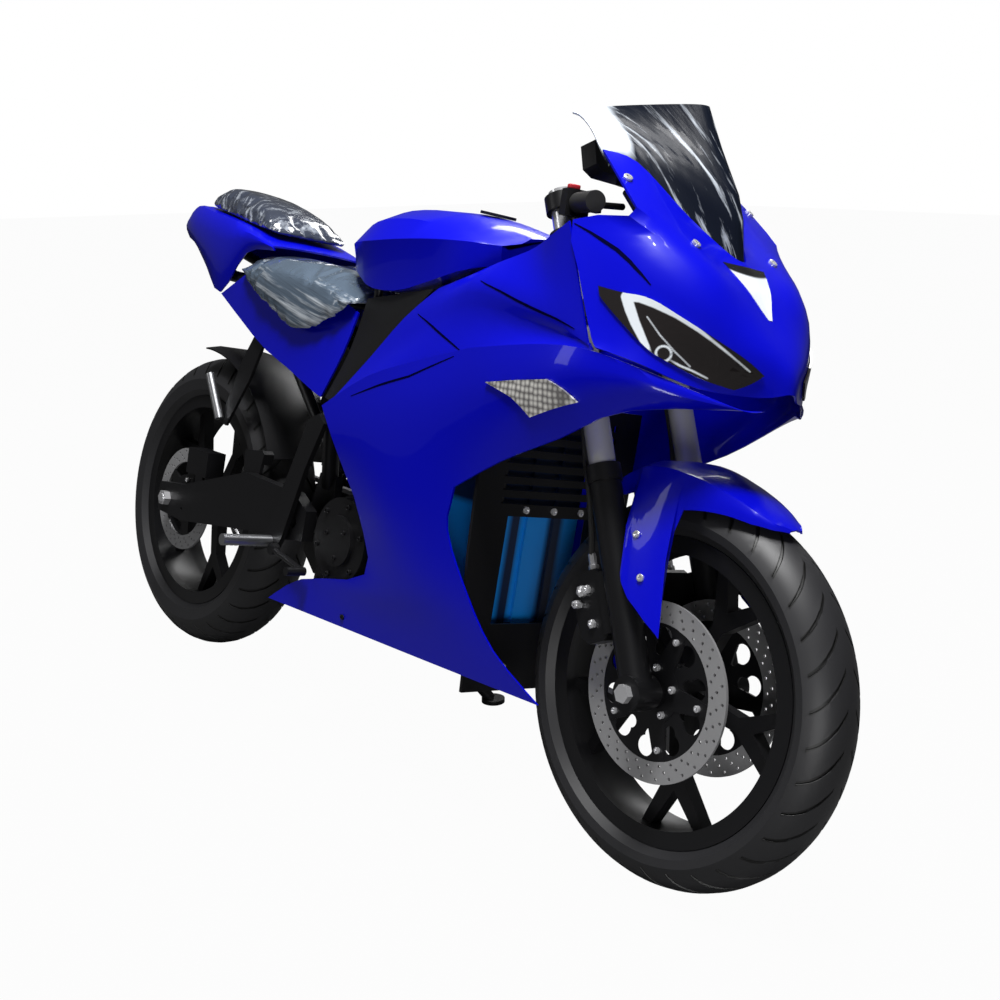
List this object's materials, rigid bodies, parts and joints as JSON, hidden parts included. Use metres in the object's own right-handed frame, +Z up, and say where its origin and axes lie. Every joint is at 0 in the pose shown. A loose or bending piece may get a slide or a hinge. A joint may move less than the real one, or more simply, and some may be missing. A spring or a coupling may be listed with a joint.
{
  "type": "electric motorcycle with full fairing",
  "caption": "Blue fully faired electric sport motorcycle leaning on its side stand, with raised pillion pad, smoked screen, cast wheels and bars swung forward.",
  "frame": {"origin": "Middle of the bounding box on the floor, as it parks on the side stand", "axes": "+X is forward along the motorcycle, +Y to the rider's left, +Z up; it leans to the left"},
  "size_m": [1.9869, 0.5659, 1.1288],
  "materials": {
    "blue_paint": "gloss",
    "black_plastic": "matte",
    "black_metal": "satin",
    "seat_cover": "satin",
    "black_rubber": "matte",
    "road_tyre": "matte",
    "steel": "satin",
    "bright_steel": "polished",
    "alloy": "satin",
    "battery_case": "satin",
    "smoke": "gloss",
    "lamp_dark": "gloss",
    "lamp_clear": "gloss",
    "lamp_red": "gloss"
  },
  "bodies": {
    "chassis": {"main_frame": "black_metal", "swingarm": "black_metal", "rear_shock": "steel", "rear_axle": "bright_steel", "rear_brake": "black_metal", "rear_hugger": "black_plastic", "motor": "alloy", "battery_pack": "battery_case", "chain": "steel", "peg_hangers": "black_metal", "rider_pegs": "alloy", "pillion_pegs": "alloy", "brake_pedal": "black_metal", "fairing_right": "blue_paint", "fairing_left": "blue_paint", "upper_panel_right": "blue_paint", "upper_panel_left": "blue_paint", "nose_cowl": "blue_paint", "nose_stay": "black_plastic", "windscreen": "smoke", "headlights": "lamp_dark", "front_indicators": "lamp_clear", "dash": "black_plastic", "inner_panels": "black_plastic", "tank": "blue_paint", "tank_cap": "black_plastic", "frame_covers": "black_plastic", "rider_seat": "seat_cover", "pillion_seat": "seat_cover", "tail_cowl": "blue_paint", "tail_panels": "blue_paint", "tail_light": "lamp_red"},
    "steering": {"yokes": "black_metal", "fork_tubes": "bright_steel", "fork_sliders": "black_metal", "front_axle": "bright_steel", "front_calipers": "black_metal", "front_fender": "blue_paint", "handlebars": "black_metal", "grips": "black_rubber", "bar_controls": "black_plastic", "brake_hoses": "black_rubber"},
    "front_wheel": {"front_tyre": "road_tyre", "front_rim": "black_metal", "front_discs": "steel"},
    "rear_wheel": {"rear_tyre": "road_tyre", "rear_rim": "black_metal", "rear_disc": "steel", "rear_sprocket": "steel"},
    "side_stand_leg": {"side_stand": "black_metal"}
  },
  "joints": [
    {"name": "steering", "type": "hinge", "parent": "chassis", "child": "steering", "pos_m": [0.41249, 0.07031, 0.80406], "axis": [-0.4226, 0.1884, 0.8865], "range_deg": [-24, 24]},
    {"name": "front_wheel_spin", "type": "hinge", "parent": "steering", "child": "front_wheel", "pos_m": [0.7005, -0.03941, 0.28787], "axis": [0, 0.9781, -0.2079], "continuous": true},
    {"name": "rear_wheel_spin", "type": "hinge", "parent": "chassis", "child": "rear_wheel", "pos_m": [-0.6795, -0.03497, 0.30876], "axis": [0, 0.9781, -0.2079], "continuous": true},
    {"name": "side_stand_fold", "type": "hinge", "parent": "chassis", "child": "side_stand_leg", "pos_m": [-0.0495, 0.05824, 0.16048], "axis": [0, 0.9781, -0.2079], "range_deg": [0, 86]}
  ]
}
